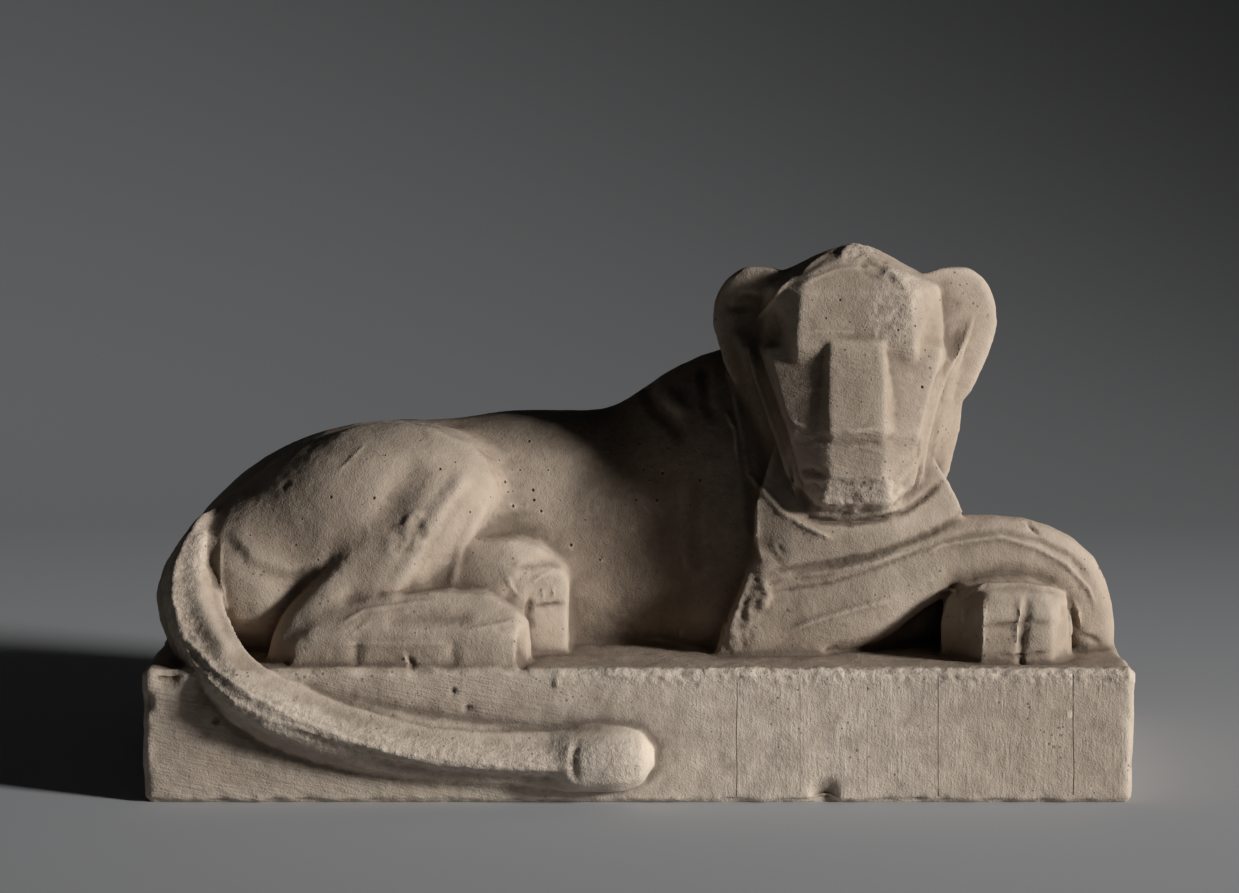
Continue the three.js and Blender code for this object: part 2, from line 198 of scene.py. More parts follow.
# %% [markdown]
# ## Folds, ridges and cuts
# The lines on the lion are drawn where the photograph shows them, and the camera says where on the
# stone each one falls. A groove is a V, a ridge is round, a ledge lifts the side on its left hand
# and lowers the other, as where one form overlaps the next, and a tip lets a plane fall away to the
# right of its line. Each has half its width and its rise in millimetres, then its pixels, and runs
# out softly at both ends. They could be modelled as strips, but here they are painted weights that
# Displace lifts or sinks, so that they stay part of one skin.
# %% Draw the marks on the skin
MARKS = {
    # The head
    "left ear's rim": ("ridge", 1.3, 1.0, (752, 327), (770, 305), (782, 288), (797, 276)),
    "left ear's hollow": ("groove", 2.0, -1.2, (722, 309), (740, 309), (757, 307)),
    "left ear's band": ("ridge", 2.6, 0.9, (735, 292), (750, 290), (766, 296)),
    "left temple": ("groove", 7, -1.3, (772, 300), (776, 325), (778, 345)),
    "crown's left edge": ("ridge", 1.2, 0.7, (797, 276), (815, 262), (832, 250)),
    "crown's rough top": ("ridge", 3, 0.8, (836, 268), (846, 250), (862, 250)),
    "forehead's arc": ("ridge", 1.6, 0.6, (792, 290), (812, 280), (838, 270), (868, 268), (892, 272),
                       (907, 290)),
    "brow line": ("ridge", 1.0, 0.35, (797, 333), (830, 331), (862, 332)),
    "nose line": ("ridge", 0.8, 0.25, (838, 366), (860, 367), (884, 366)),
    "left cheek's lower edge": ("ridge", 1.6, 0.7, (787, 416), (797, 425), (810, 428)),
    "left muzzle's glint": ("ridge", 2, 0.7, (802, 482), (815, 478), (828, 484)),
    "mouth's corner": ("groove", 2.2, -1.2, (794, 470), (812, 472), (830, 476)),
    "nose's base": ("ridge", 1.6, 0.7, (838, 427), (850, 432), (864, 430), (884, 427)),
    "muzzle line": ("ridge", 1.0, 0.45, (837, 449), (860, 447), (886, 449)),
    "lip": ("ridge", 1.6, 0.6, (830, 478), (860, 480), (890, 478)),
    "right muzzle's edge": ("ridge", 2.0, 0.6, (887, 492), (905, 474), (921, 456)),
    "right cheek": ("ridge", 1.0, 0.7, (975, 310), (960, 350), (945, 378), (937, 400), (927, 440),
                    (921, 475), (914, 500)),
    "right cheek's groove": ("groove", 1.4, -0.6, (953, 352), (938, 378), (930, 402), (921, 440),
                             (915, 470)),
    "right ear's fold": ("ridge", 1.0, 0.6, (976, 311), (969, 332), (961, 356), (957, 372)),
    "right ear's hollow": ("groove", 3, -1.0, (962, 318), (955, 345), (950, 368)),
    # The hood of mane round the face
    "hood's outer edge": ("ridge", 2.0, 0.9, (716, 345), (732, 380), (741, 430), (748, 475), (762, 490),
                          (780, 511), (802, 523)),
    "hood's inner ridge": ("ridge", 1.3, 1.1, (745, 337), (757, 380), (775, 430), (788, 470), (800, 503)),
    "hood's inner groove": ("groove", 1.6, -1.2, (753, 340), (766, 380), (783, 430), (796, 470),
                            (806, 498)),
    "chin line": ("groove", 1.8, -2.0, (797, 516), (820, 521), (850, 523), (880, 519), (905, 512),
                  (925, 497), (945, 478)),
    "throat fold": ("ridge", 1.4, 0.9, (786, 514), (800, 524), (820, 533), (838, 543)),
    # The neck and shoulder
    "neck's crescent": ("fold", 5, -1.6, (652, 370), (645, 390), (655, 410), (672, 425), (684, 444)),
    "neck's swelling": ("ridge", 5, 1.6, (668, 384), (671, 402), (690, 420)),
    "mane's hollow": ("fold", 4, -1.3, (704, 348), (703, 380), (706, 405), (716, 425)),
    "mane's lock": ("ridge", 1.4, 1.2, (722, 405), (735, 430), (738, 462)),
    "shoulder fold": ("fold", 5, -0.5, (697, 470), (692, 520), (698, 580)),
    "mane's edge": ("fold", 3.2, -0.8, (741, 430), (748, 480), (752, 540)),
    "belly's edge": ("ridge", 2, 1.2, (640, 640), (660, 640), (690, 648), (716, 652)),
    # The chest
    "chest's left edge": ("ridge", 1.4, 0.9, (757, 500), (757, 540), (764, 568)),
    "chest's fan 1": ("fold", 3, -0.6, (764, 528), (768, 548), (777, 560), (790, 566)),
    "chest's fan 2": ("fold", 2.4, -0.4, (775, 540), (780, 551), (789, 559)),
    "collar's groove": ("fold", 2.4, -1.2, (764, 573), (790, 569), (830, 564), (870, 556), (900, 545),
                        (930, 533), (963, 516)),
    "collar's second line": ("ridge", 1.2, 0.7, (790, 577), (830, 572), (870, 564), (905, 552)),
    # The near foreleg
    "forearm's upper line": ("groove", 1.4, -0.9, (772, 592), (830, 583), (885, 565), (930, 546)),
    "forearm's ridge": ("ridge", 1.6, 0.9, (782, 633), (820, 619), (855, 609), (893, 600)),
    "arch's bevel": ("ridge", 1.5, 0.9, (920, 556), (942, 545), (968, 541), (1000, 537), (1035, 547),
                     (1066, 564), (1088, 588), (1098, 612)),
    "arch's bevel groove": ("groove", 1.8, -1.0, (930, 545), (966, 534), (1000, 531), (1038, 540),
                            (1070, 556), (1093, 582)),
    "arch's crack": ("groove", 1.0, -1.4, (1025, 520), (1040, 536)),
    "arch's foot": ("groove", 1.6, -1.2, (1076, 634), (1090, 637), (1104, 644)),
    "curl": ("ridge", 1.0, 1.2, (938, 592), (948, 588), (956, 592), (955, 600)),
    "elbow's break": ("fold", 3.0, -0.8, (757, 560), (750, 590), (742, 608), (738, 640)),
    "elbow's lump": ("ridge", 3.0, 1.2, (762, 575), (768, 596), (758, 612)),
    # The far forepaw
    "paw's middle": ("groove", 2.4, -1.1, (1028, 588), (1027, 615), (1023, 640), (1022, 657)),
    "paw's middle lip": ("ridge", 1.2, 0.8, (1021, 592), (1020, 614), (1016, 632), (1016, 654)),
    "paw's knuckles": ("groove", 1.4, -0.7, (984, 625), (1018, 624), (1058, 622)),
    "paw's top": ("ridge", 1.2, 0.9, (960, 600), (985, 586), (1018, 585), (1050, 589), (1072, 596)),
    "paw's left edge": ("ridge", 1.2, 0.7, (983, 592), (984, 622), (982, 660)),
    "paw's right plane": ("tip", 9, 2.2, (1057, 658), (1057, 590)),
    "paw's outer claw": ("ridge", 1.2, 1.0, (1072, 596), (1079, 612), (1081, 632)),
    "paw's side": ("ridge", 1.6, 0.9, (965, 606), (963, 626)),
    "paw's sole": ("groove", 1.2, -0.9, (988, 651), (1012, 656), (1056, 650)),
    # The near hind leg
    "haunch's upper edge": ("ledge", 6, 0.9, (497, 470), (470, 442), (430, 428), (380, 422)),
    "thigh's scratch": ("ridge", 0.9, 0.5, (330, 480), (350, 460), (370, 441)),
    "thigh's chip": ("groove", 1.6, -0.7, (280, 490), (292, 480)),
    "thigh's broken spot": ("groove", 3, -0.4, (404, 535), (412, 530), (424, 518)),
    "thigh's broken lip": ("ridge", 2.4, 0.7, (402, 520), (414, 514), (426, 516)),
    "buttock's edge": ("ledge", 8, 0.9, (226, 530), (250, 560), (285, 573), (318, 566), (334, 545)),
    "shank's valley": ("fold", 10, -1.3, (424, 452), (402, 490), (384, 530), (362, 570), (338, 604)),
    "shank's ridge": ("ridge", 5, 1.3, (470, 470), (440, 512), (412, 560), (385, 608)),
    "shank's lower edge": ("ridge", 3, 1.0, (488, 500), (462, 545), (449, 596)),
    # The near hind foot
    "foot's top line": ("ridge", 1.5, 0.7, (336, 627), (362, 612), (400, 605), (440, 601)),
    "foot's second line": ("ridge", 1.1, 0.45, (345, 640), (358, 630), (371, 620)),
    "foot's hollow": ("fold", 5, -1.2, (380, 622), (430, 618), (478, 618)),
    "foot's band": ("ridge", 1.2, 0.45, (330, 646), (358, 643), (400, 644), (453, 643)),
    "foot's crack": ("groove", 1.6, -1.5, (407, 654), (412, 664), (417, 668)),
    "foot's crack lip": ("ridge", 1.2, 0.9, (402, 652), (408, 662), (411, 668)),
    "toe's end": ("tip", 12, 2.4, (497, 676), (495, 626)),
    "toe's top": ("ridge", 1.6, 0.6, (455, 634), (480, 628), (512, 622), (527, 630)),
    # The far hind foot
    "far instep's fold": ("ridge", 1.6, 0.9, (504, 572), (512, 588), (521, 602)),
    "far instep's brow": ("fold", 3, -1.0, (500, 560), (520, 566), (540, 566)),
    "far toe's edge": ("groove", 2, -1.8, (531, 590), (529, 612), (532, 636)),
    "far toe's bridge": ("ridge", 1.3, 0.7, (527, 586), (540, 577), (556, 570)),
    "far toe's knuckle": ("groove", 1.2, -1.0, (531, 606), (568, 603)),
    "far toe's line 1": ("ridge", 0.9, 0.8, (543, 588), (543, 602)),
    "far toe's line 2": ("ridge", 0.9, 0.8, (553, 585), (553, 600)),
    # The tail and the plinth
    "tail's inner plane": ("ridge", 6, 2.2, (206, 524), (197, 560), (200, 600), (214, 636), (236, 662)),
    "tail's right inner edge": ("ridge", 1.2, 0.8, (221, 535), (221, 580), (230, 625), (246, 650)),
    "tail's crest": ("ridge", 2.0, 0.7, (170, 590), (186, 640), (215, 670), (250, 695), (290, 716),
                     (340, 736), (390, 752), (440, 764), (500, 768), (570, 769)),
    "tail's upper plane": ("fold", 5, -0.7, (232, 650), (262, 676), (300, 698), (345, 716), (395, 731),
                           (445, 742), (500, 747), (560, 748)),
    "tail's lower plane": ("fold", 4.5, -1.3, (178, 636), (205, 676), (243, 703), (285, 727), (337, 748),
                           (388, 764), (440, 776), (500, 781), (565, 782)),
    "tail's upper line": ("groove", 1.6, -0.7, (300, 682), (340, 700), (390, 716), (430, 726),
                          (480, 730), (560, 728)),
    "knob's step": ("groove", 2.4, -1.2, (578, 732), (573, 760), (577, 788)),
    "knob's brow": ("ridge", 1.6, 0.8, (566, 728), (590, 726), (618, 726)),
    "plinth's upright mark": ("ridge", 1.4, 0.9, (557, 676), (557, 690)),
    "plinth's corner chip": ("groove", 5, -2.6, (152, 680), (168, 677), (184, 676)),
    "plinth's side chip": ("groove", 3, -2.0, (147, 690), (148, 715)),
    "plinth's bottom notch": ("groove", 7, -3.4, (806, 798), (824, 794), (842, 798)),
    "plinth's small chip 1": ("groove", 1.6, -1.2, (449, 690), (458, 692)),
    "plinth's small chip 2": ("groove", 1.6, -1.4, (464, 706), (472, 710)),
    "plinth's small chip 3": ("groove", 2.0, -1.3, (212, 718), (220, 724)),
}
turn = np.array(camera.rotation_euler.to_matrix())
focal = camera.data.lens / camera.data.sensor_width * PHOTO_WIDTH


def in_photo(points):
    """Where points in metres show in the photograph, and how far in front of the camera they are."""
    local = (points - np.array(camera.location)) @ turn
    far = -local[:, 2:]
    return local[:, :2] * (1, -1) * focal / far + (PHOTO_WIDTH / 2, PHOTO_HEIGHT / 2), far[:, 0]


def on_stone(pixel):
    """The place on the stone that shows at a pixel, and the way the stone faces there."""
    way = turn @ np.array((pixel[0] - PHOTO_WIDTH / 2, PHOTO_HEIGHT / 2 - pixel[1], -focal))
    hit, place, normal, face = lion.ray_cast(camera.location, Vector(way).normalized())
    return (np.array(place), np.array(normal)) if hit else (None, None)


def depth_of(pixel):
    place, normal = on_stone(pixel)
    return np.nan if place is None else in_photo(place[None])[1][0]


def profile(shape, off, side):
    """The share of a mark's rise at off half widths from its line."""
    inside = np.clip(1 - off, 0, 1)
    if shape == "groove":
        return inside
    if shape == "ledge":
        return inside * -side * np.clip(off * 4, 0, 1)
    if shape == "tip":
        return np.minimum(-side * off, 0) * np.clip(inside * 7, 0, 1)
    return inside * inside * (3 - 2 * inside)  # a ridge or a soft fold


def draw(shape, half_width, rise, *pixels):
    """The rise in millimetres that one mark gives to each skin point."""
    flat, depth = skin_in_photo
    line = np.array(pixels, float)
    depths = np.array([depth_of(pixel) for pixel in pixels])
    depths = np.where(np.isnan(depths), np.nanmean(depths), depths)  # a point just off the stone
    scale = focal * MM / depths.mean()  # pixels to a millimetre here
    reach = half_width * scale
    boxed = ((flat > line.min(0) - reach) & (flat < line.max(0) + reach)).all(1)
    index = np.nonzero(boxed & facing_camera)[0]
    least = np.full(len(index), 1e9)
    side = np.zeros(len(index))
    gap = np.full(len(index), 1e9)
    drawn = np.zeros(len(index))
    length = 0.0
    for a, b, near_a, near_b in zip(line, line[1:], depths, depths[1:]):
        along = b - a
        share = np.clip((flat[index] - a) @ along / (along @ along), 0, 1)
        off = flat[index] - a - share[:, None] * along
        distance = np.hypot(*off.T)
        closer = distance < least
        least[closer] = distance[closer]
        side[closer] = np.sign(along[0] * off[:, 1] - along[1] * off[:, 0])[closer]
        gap[closer] = np.abs(depth[index] - near_a - (near_b - near_a) * share)[closer]
        drawn[closer] = (length + share * np.hypot(*along))[closer]
        length += np.hypot(*along)
    same_form = 1 - ease(gap / MM, 6, 12)
    run_out = ease(np.minimum(drawn, length - drawn), 0, min(length * 0.4, 8 * scale))
    made = np.zeros(len(flat))
    made[index] = rise * profile(shape, least / reach, side) * same_form * run_out
    return made


facing_camera = read("normal") @ turn[:, 2] > 0
skin_in_photo = in_photo(read("co"))
raised = np.zeros(len(spots))
cut = np.zeros(len(spots))
for name, mark in MARKS.items():
    made = draw(*mark)
    raised = np.maximum(raised, made)
    cut = np.minimum(cut, made)
paint("raised", raised / raised.max())
paint("cut", cut / cut.min())
modify(lion, "DISPLACE", strength=raised.max() * MM, mid_level=0, vertex_group="raised")
modify(lion, "DISPLACE", strength=cut.min() * MM, mid_level=0, vertex_group="cut")
print("Drew", len(MARKS), "marks, up to", round(raised.max(), 1), "and down to", round(cut.min(), 1), "mm")

# %% [markdown]
# ## The uneven hand, and broken edges
# Hand-cut stone is never true. A Displace modifier reads a soft noise and pushes the skin in and out
# by less than a millimetre, first in broad swells as the carver's chisel leaves, then in grain. The
# plinth's arrises are its weakest places, so a coarser noise bites into them, most of all along the
# front's top edge. A bevel would wear them evenly, and real ones break in bites.
# %% Swells, grain and broken arrises


def noise(name, kind, size, **settings):
    texture = bpy.data.textures.new(name, kind)
    texture.noise_scale = size * MM
    for key, value in settings.items():
        setattr(texture, key, value)
    return texture


def press(texture, strength, group, middle=0.5):
    modify(lion, "DISPLACE", texture=texture, texture_coords="LOCAL", strength=strength * MM,
           mid_level=middle, vertex_group=group)


def chin_and_crown(spots):
    """The broken stone under the mouth and on top of the head."""
    return near(spots, 7, (74, -56, 62), (94, -56, 62)) + near(spots, 8, (84, -28, 156))


insets = np.stack([PLINTH_LENGTH / 2 - np.abs(spots[:, 0]), PLINTH_DEPTH / 2 - np.abs(spots[:, 1]),
                   np.minimum(-spots[:, 2], PLINTH_TOP + spots[:, 2])], axis=1)
from_arris = np.sort(insets, axis=1)[:, 1]
on_plinth = 1 - ease(spots[:, 2], 0.5, 1.5)
arris = on_plinth * (1 - ease(from_arris, 1.0, 4.5))
band = on_plinth * ease(spots[:, 0], -40, -10) * ease(-spots[:, 1], 74, 77) * ease(spots[:, 2], -8, -3)
TAIL_CREST = ((-173, -46, 44), (-178, -63, 29), (-171, -78, 6), (-150, -92, -10), (-118, -93, -23),
              (-72, -93, -32), (-34, -91, -35), (0, -92, -34))
forehead_chip = near(spots, 5, (100, -44, 142), (96, -50, 130))
band = np.maximum.reduce([band, 0.45 * near(spots, 4, *TAIL_CREST[:7]), 0.6 * chin_and_crown(spots),
                          0.5 * forehead_chip])
off_ground = ease(spots[:, 2], -PLINTH_TOP - 0.5, -PLINTH_TOP + 0.8)
paint("arris", arris * off_ground)
paint("band", band)
broken = near(spots, 7, (-89, -60, 49)) + near(spots, 6, (48, -52, 30), (34, -52, 2))
broken = np.clip(broken + near(spots, 6, (84, -60, 56)) + near(spots, 5, (92, -40, 150)), 0, 1)
paint("broken", broken * figure)
back = ease(spots[:, 1], 20, 50)
paint("grain", above_ground * (1 - 0.5 * back))
press(noise("swells", "CLOUDS", 14, noise_depth=1), 0.9, "all over")
press(noise("bites", "CLOUDS", 11, noise_depth=4), -2.6, "arris", middle=0.46)
press(noise("crumbs", "CLOUDS", 2.4, noise_depth=3), 1.1, "band")
press(noise("breaks", "CLOUDS", 5, noise_depth=3), 2.2, "broken")
press(noise("grain", "CLOUDS", 2.4, noise_depth=3), 0.38, "grain")
print("The grain is pressed in")

# %% [markdown]
# ## Keep the mesh light
# The even skin spends as many points on the plinth's flat back as on the face. Decimate merges those
# that change the form least, so the piece stays light and keeps its marks.
# %% Thin the mesh
MOST_TRIANGLES = 185_000
take(lion)
lion.vertex_groups.clear()
modify(lion, "TRIANGULATE")
before = len(lion.data.polygons)
modify(lion, "DECIMATE", ratio=min(1, MOST_TRIANGLES / before))
print("From", before, "to", len(lion.data.polygons), "triangles")

# %% [markdown]
# ## Scribed lines and pits
# Some marks are finer than the skin's squares: the upright lines scribed across the plinth's front and
# the pits where grains fell out. They are cut last, with a Boolean that takes thin wedges and small
# lumps away. It could be bump alone, but the light grazes the front and true cuts throw real shadows.
# %% Cut the fine lines and the pits
SCRIBED = {  # half width and depth in millimetres, then the photograph's pixels
    "upright 1": (0.26, 0.5, (737, 676), (737, 700), (736, 740), (737, 770), (736, 797)),
    "upright 2": (0.2, 0.3, (800, 684), (800, 720), (800, 760), (800, 792)),
    "upright 3": (0.2, 0.3, (867, 684), (867, 720), (867, 760), (867, 792)),
    "upright 4": (0.26, 0.5, (938, 676), (938, 700), (938, 740), (938, 770), (938, 797)),
    "upright 5": (0.28, 0.55, (1073, 674), (1073, 700), (1073, 740), (1074, 770), (1073, 795)),
    "forearm scratch": (0.25, 0.2, (782, 618), (788, 608)),
}
PITS = {  # radius in millimetres, then the photograph's pixels
    0.8: [(529, 441), (533, 490), (534, 500), (513, 506), (541, 511), (505, 482), (440, 469), (374, 498),
          (571, 545), (331, 497), (922, 387), (640, 444), (663, 473), (657, 500), (700, 480)],
    0.55: [(499, 460), (508, 492), (520, 470), (548, 470), (325, 568), (250, 535), (296, 545), (302, 519),
           (318, 560), (420, 440), (455, 462), (385, 455), (470, 512), (600, 560), (840, 300), (826, 318),
           (915, 326), (898, 330), (940, 300), (644, 470), (650, 480), (690, 505), (636, 500), (668, 448)],
    0.4: [(850, 322), (903, 305), (960, 285), (865, 330), (812, 300), (800, 320), (845, 350), (871, 380),
          (925, 350), (800, 385), (790, 372), (861, 402), (512, 470), (480, 455), (560, 500), (585, 520)],
}


BAR_RINGS = 14  # how many rings a bar is laid through, along its line
BAR_PROUD = 0.5 * MM  # how far a bar stands out of the stone
BAR_SPREAD = 1.6  # its width out there, against its width in the stone's face


def wedge(cutters, half_width, depth, pixels):
    """A thin three-sided bar laid along the stone, with its sharp edge inside."""
    rings = []
    way = np.subtract(pixels[-1], pixels[0]).astype(float)
    across = np.array((-way[1], 0, -way[0])) / np.hypot(*way)
    for share in np.linspace(0, 1, BAR_RINGS):
        at = np.array([np.interp(share, np.linspace(0, 1, len(pixels)), axis) for axis in zip(*pixels)])
        place, normal = on_stone(at)
        outer = place + BAR_PROUD * normal
        aside = across * half_width * BAR_SPREAD * MM
        rings.append([cutters.verts.new(outer - aside), cutters.verts.new(outer + aside),
                      cutters.verts.new(place - normal * depth * MM)])
    for one, two in zip(rings, rings[1:]):
        for i in range(3):
            j = (i + 1) % 3
            cutters.faces.new((one[i], one[j], two[j], two[i]))
    cutters.faces.new(rings[0][::-1])
    cutters.faces.new(rings[-1])


def cut_away(fill):
    """Fill a cutter mesh, then take it away from the lion."""
    cutters = bmesh.new()
    fill(cutters)
    bmesh.ops.recalc_face_normals(cutters, faces=cutters.faces)
    mesh = bpy.data.meshes.new("cutters")
    cutters.to_mesh(mesh)
    cutters.free()
    tool = bpy.data.objects.new("cutters", mesh)
    bpy.context.scene.collection.objects.link(tool)
    modify(lion, "BOOLEAN", operation="DIFFERENCE", solver="MANIFOLD", object=tool)
    bpy.data.objects.remove(tool)


def scribe(cutters):
    for half_width, depth, *pixels in SCRIBED.values():
        wedge(cutters, half_width, depth, pixels)


def pit(cutters):
    for radius, pixels in PITS.items():
        for pixel in pixels:
            place, normal = on_stone(pixel)
            sunk = Matrix.Translation(place) @ Matrix.Scale(radius * MM, 4)
            bmesh.ops.create_icosphere(cutters, subdivisions=1, radius=1, matrix=sunk)


CREASE = 55  # degrees: edges sharper than this stay crisp
cut_away(scribe)
cut_away(pit)
modify(lion, "TRIANGULATE")
take(lion)
bpy.ops.object.shade_smooth_by_angle(angle=math.radians(CREASE))
print("With lines and pits,", len(lion.data.polygons), "triangles")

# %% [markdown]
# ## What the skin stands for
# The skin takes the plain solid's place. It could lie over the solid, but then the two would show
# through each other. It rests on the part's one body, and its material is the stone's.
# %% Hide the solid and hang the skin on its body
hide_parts("lion_on_plinth")
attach(lion, "root")
print(lion.name, "stands for lion_on_plinth")

# %% [markdown]
# ## Hollows and high places
# Dirt stays in hollows, and hands and dust rub the high places pale. Each point is compared with the
# mean of the points round it, near and wide: where that mean lies outside the stone, the point is in a
# hollow. It is written as an attribute that the stone's colour reads, as is a painted shadow of the head
# over the shoulder and the back.
# %% Measure the hollows
edges = np.empty(len(lion.data.edges) * 2, np.int32)
lion.data.edges.foreach_get("vertices", edges)
ends = np.concatenate([edges.reshape(-1, 2), edges.reshape(-1, 2)[:, ::-1]])
count = np.maximum(np.bincount(ends[:, 0], minlength=len(lion.data.vertices)), 1)


def around(values, rounds):
    for _ in range(rounds):
        values = np.stack([np.bincount(ends[:, 0], column[ends[:, 1]], len(count)) / count
                           for column in values.T], axis=1)
    return values


def keep(name, values):
    attribute = lion.data.attributes.new(name, "FLOAT", "POINT")
    attribute.data.foreach_set("value", np.clip(values, 0, 1).astype(np.float32))


co, out = read("co"), read("normal")
fine = ((around(co, 3) - co) * out).sum(1) / MM
wide = ((around(co, 40) - co) * out).sum(1) / MM
keep("hollow", np.clip(fine * 2.2, 0, 1) * 0.6 + np.clip(wide * 0.45, 0, 1))
keep("high", np.clip(-fine * 2.0, 0, 1) * 0.6 + np.clip(-wide * 0.3, 0, 0.7))
spots = places()
tail_crest = near(spots, 7, *TAIL_CREST)
top_band = ease(-spots[:, 1], 74, 79) * ease(spots[:, 0], -50, 0) * ease(spots[:, 2], -9, -3)
top_band = top_band * (1 - ease(spots[:, 2], 0.5, 2))
rough_head = chin_and_crown(spots) + near(spots, 7, (100, -44, 142), (96, -50, 130))
knob = near(spots, 8, (2, -86, -32))
keep("chalky", np.maximum.reduce([tail_crest, top_band, 0.8 * rough_head]) + 0.3 * knob)
front = ease(-spots[:, 1], 76, 79) * (1 - ease(spots[:, 2], 0, 1))
rubbed = (0.35 + 0.65 * ease(spots[:, 0], -90, 20)) * (1 - 0.6 * ease(spots[:, 0], 90, 150))
keep("pale", front * rubbed)
# Painted shadow: the head's shadow on the shoulder and back is painted in as darker stone, with some real
# patina on the shoulder; the rump and the plinth's top are darkened a little.
shoulder = near(spots, 36, (18, -30, 100), (14, -40, 60))
head_shadow_on_back = near(spots, 32, (-46, -12, 120), (4, -14, 108))
rump = near(spots, 22, (-125, -20, 95), (-80, -30, 105))
top = (1 - ease(np.abs(spots[:, 2]), 1, 3)) * ease(79 - np.abs(spots[:, 1]), 0, 3)
keep("shadow_and_patina", np.maximum.reduce([shoulder, head_shadow_on_back, 0.25 * top, 0.45 * rump]))
keep("rasped_up", front * ease(spots[:, 0], 0, 50))
face = near(spots, 26, (84, -60, 100))
keep("rasped_across", np.maximum(front * (1 - ease(spots[:, 0], -60, 0)), 0.7 * face))
print("Hollows cover", round(float((wide > 0.8).mean()) * 100), "% of the points")

# %% [markdown]
# ## The stone
# Soft limestone is a warm pale grey-brown that changes over a hand's width. Noise at three sizes gives
# clouds, mottling and fine speckle, a cell pattern gives the dark pinholes, and the measured hollows
# and high places tint it. The same patterns drive the bump, so what looks pitted is pitted.
# %% Mix the stone
LIT = (0.46, 0.364, 0.28)
EARTHY = (0.30, 0.228, 0.168)
PALE = (0.69, 0.595, 0.49)
SHADOW_AND_PATINA = (0.12, 0.084, 0.058)
DIRT = (0.11, 0.078, 0.055)
CHALK = (0.60, 0.51, 0.415)

stone = bpy.data.materials.new("soft_stone")
stone.use_nodes = True
tree = stone.node_tree
shader = tree.nodes["Principled BSDF"]


def node(kind, **settings):
    """Add a node. A setting that is an input gets a number, a colour or another node's output."""
    made = tree.nodes.new(kind)
    for name, value in settings.items():
        plug = made.inputs.get(name.replace("_", " "))
        if plug is None:
            setattr(made, name, value)
        elif isinstance(value, bpy.types.NodeSocket):
            tree.links.new(value, plug)
        else:
            plug.default_value = value
    return made


def sums(operation, a, b=0.5):
    made = tree.nodes.new("ShaderNodeMath")
    made.operation = operation
    for plug, value in zip(made.inputs, (a, b)):
        if isinstance(value, bpy.types.NodeSocket):
            tree.links.new(value, plug)
        else:
            plug.default_value = value
    return made.outputs[0]


def span(value, low, high, to_low=0.0, to_high=1.0):
    made = node("ShaderNodeMapRange", Value=value)
    for name, number in zip(("From Min", "From Max", "To Min", "To Max"), (low, high, to_low, to_high)):
        made.inputs[name].default_value = number
    return made.outputs[0]


def blend(share, below, above):
    made = node("ShaderNodeMix", data_type="RGBA")
    for plug, value in zip((made.inputs[0], made.inputs[6], made.inputs[7]), (share, below, above)):
        if isinstance(value, bpy.types.NodeSocket):
            tree.links.new(value, plug)
        elif isinstance(value, tuple):
            plug.default_value = (*value, 1)
        else:
            plug.default_value = value
    return made.outputs[2]


def attribute(name):
    return node("ShaderNodeAttribute", attribute_name=name).outputs["Fac"]


where = node("ShaderNodeTexCoord").outputs["Object"]


def cloud(size, detail=4.0, rough=0.55, stretch=(1, 1, 1), turned=(0, 0, 0)):
    """Noise whose features are about size millimetres across, drawn out along some axes."""
    laid = node("ShaderNodeMapping", Vector=where, Rotation=tuple(math.radians(a) for a in turned))
    laid = node("ShaderNodeMapping", Vector=laid.outputs[0], Scale=stretch).outputs[0]
    return node("ShaderNodeTexNoise", Vector=laid, Scale=1 / (size * MM), Detail=detail,
                Roughness=rough).outputs["Fac"]


drift = cloud(55, 3)
mottle = cloud(9, 5)
speckle = cloud(0.7, 3)
crust = cloud(2.4, 5, 0.6)
up_strokes = cloud(1.1, 3, stretch=(1, 1, 0.12))
across_strokes = cloud(1.1, 3, stretch=(0.1, 1, 1), turned=(0, -12, 0))
cells = node("ShaderNodeTexVoronoi", Vector=where, Scale=1 / (3.4 * MM)).outputs["Distance"]
pin_size = span(cloud(18, 2), 0.45, 0.7, 0.03, 0.19)
pinhole = sums("LESS_THAN", cells, pin_size)

base = blend(span(drift, 0.35, 0.65), EARTHY, LIT)
base = blend(span(mottle, 0.3, 0.75, 0, 0.45), base, LIT)
base = blend(sums("MULTIPLY", span(speckle, 0.55, 0.8), 0.35), base, EARTHY)
base = blend(sums("MULTIPLY", attribute("pale"), span(mottle, 0.3, 0.65, 0.3, 0.8)), base, PALE)
# Painted shadow and patina: the stone darkens where the head's shadow falls on the shoulder and back.
base = blend(sums("MULTIPLY", attribute("shadow_and_patina"), span(drift, 0.3, 0.6, 0.5, 0.88)), base, SHADOW_AND_PATINA)
base = blend(sums("MULTIPLY", attribute("high"), 0.4), base, CHALK)
chalk = sums("MULTIPLY", attribute("chalky"), span(crust, 0.38, 0.6))
base = blend(sums("MULTIPLY", chalk, 0.75), base, CHALK)
base = blend(sums("MULTIPLY", attribute("hollow"), 0.8), base, DIRT)
base = blend(sums("MULTIPLY", pinhole, 0.65), base, DIRT)
tree.links.new(base, shader.inputs["Base Color"])
tree.links.new(span(crust, 0.3, 0.7, 0.78, 0.97), shader.inputs["Roughness"])
shader.inputs["Specular IOR Level"].default_value = 0.25

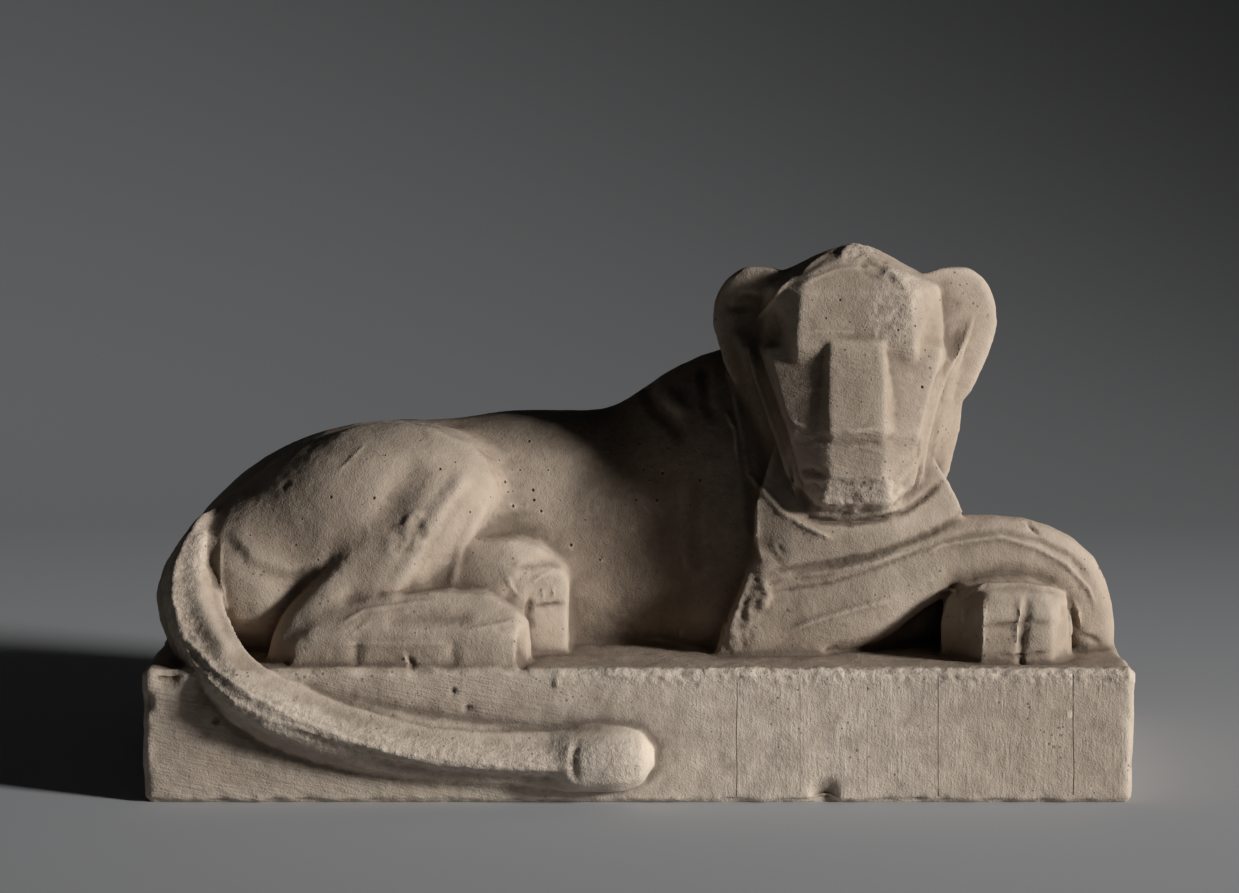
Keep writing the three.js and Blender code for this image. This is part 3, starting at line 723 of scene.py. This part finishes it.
height = sums("MULTIPLY", crust, 0.32)
height = sums("ADD", height, sums("MULTIPLY", speckle, 0.32))
upright = sums("MULTIPLY", up_strokes, attribute("rasped_up"))
upright = sums("MULTIPLY", upright, span(mottle, 0.35, 0.7, 0.05, 0.45))
height = sums("ADD", height, upright)
across = sums("MULTIPLY", across_strokes, attribute("rasped_across"))
height = sums("ADD", height, sums("MULTIPLY", across, 0.5))
height = sums("ADD", height, sums("MULTIPLY", sums("MULTIPLY", attribute("chalky"), crust), 0.5))
height = sums("SUBTRACT", height, sums("MULTIPLY", pinhole, 0.5))
bump = node("ShaderNodeBump", Strength=0.8, Distance=1.0 * MM, Height=height)
tree.links.new(bump.outputs["Normal"], shader.inputs["Normal"])
lion.data.materials.clear()
lion.data.materials.append(stone)
print("The stone has", len(tree.nodes), "nodes")

# %% [markdown]
# ## Floor and light
# A plain pale sweep runs from the floor up behind, with no line where they meet. The soft key light
# stands to the right and a little above, so that the flat planes of the face part into light and dark.
# %% Light the stone
bpy.ops.mesh.primitive_plane_add(size=1, location=(0, 0, 0))
sweep = bpy.context.object
sweep.name = "floor"
bend = bmesh.new()
rise, back_wall, floor_front, half_floor = 0.9, 1.5, -3.0, 3.5
outline = [(floor_front, 0.0), (back_wall - rise, 0.0)]
for step in range(1, 17):
    angle = step / 16 * math.pi / 2
    outline.append((back_wall - rise + rise * math.sin(angle), rise - rise * math.cos(angle)))
outline.append((back_wall, 3.5))
rows = [[bend.verts.new((x, y, z)) for x in (-half_floor, half_floor)] for y, z in outline]
for one, two in zip(rows, rows[1:]):
    bend.faces.new((one[0], one[1], two[1], two[0]))
bend.to_mesh(sweep.data)
bend.free()
take(sweep)
bpy.ops.object.shade_smooth()
floor_paint = bpy.data.materials.new("pale_floor")
floor_paint.use_nodes = True
floor_paint.node_tree.nodes["Principled BSDF"].inputs["Base Color"].default_value = (0.42, 0.425, 0.435, 1)
floor_paint.node_tree.nodes["Principled BSDF"].inputs["Roughness"].default_value = 0.9
sweep.data.materials.append(floor_paint)

world = bpy.data.worlds.new("studio")
bpy.context.scene.world = world
world.use_nodes = True
world.node_tree.nodes["Background"].inputs["Color"].default_value = (0.5, 0.52, 0.55, 1)
world.node_tree.nodes["Background"].inputs["Strength"].default_value = 0.012


def softbox(name, side, height, distance, power, size, spread=180, aim=(0, 0, 0.08)):
    """A square soft light: degrees round from the front, degrees up, metres away, degrees of spread."""
    lamp = bpy.data.lights.new(name, "AREA")
    lamp.energy = power
    lamp.size = size
    lamp.spread = math.radians(spread)
    holder = bpy.data.objects.new(name, lamp)
    bpy.context.scene.collection.objects.link(holder)
    side, height = math.radians(side), math.radians(height)
    way = Vector((math.sin(side) * math.cos(height), -math.cos(side) * math.cos(height), math.sin(height)))
    holder.location = Vector(aim) + way * distance
    holder.rotation_euler = way.to_track_quat("Z", "Y").to_euler()


softbox("key", 66, 15.5, 4.5, 8.7, 0.62, spread=33, aim=(-0.1, 0, 0.08))
softbox("backdrop", 20, 40, 3.5, 0.15, 1.5, spread=60, aim=(0, 1.5, 0.5))
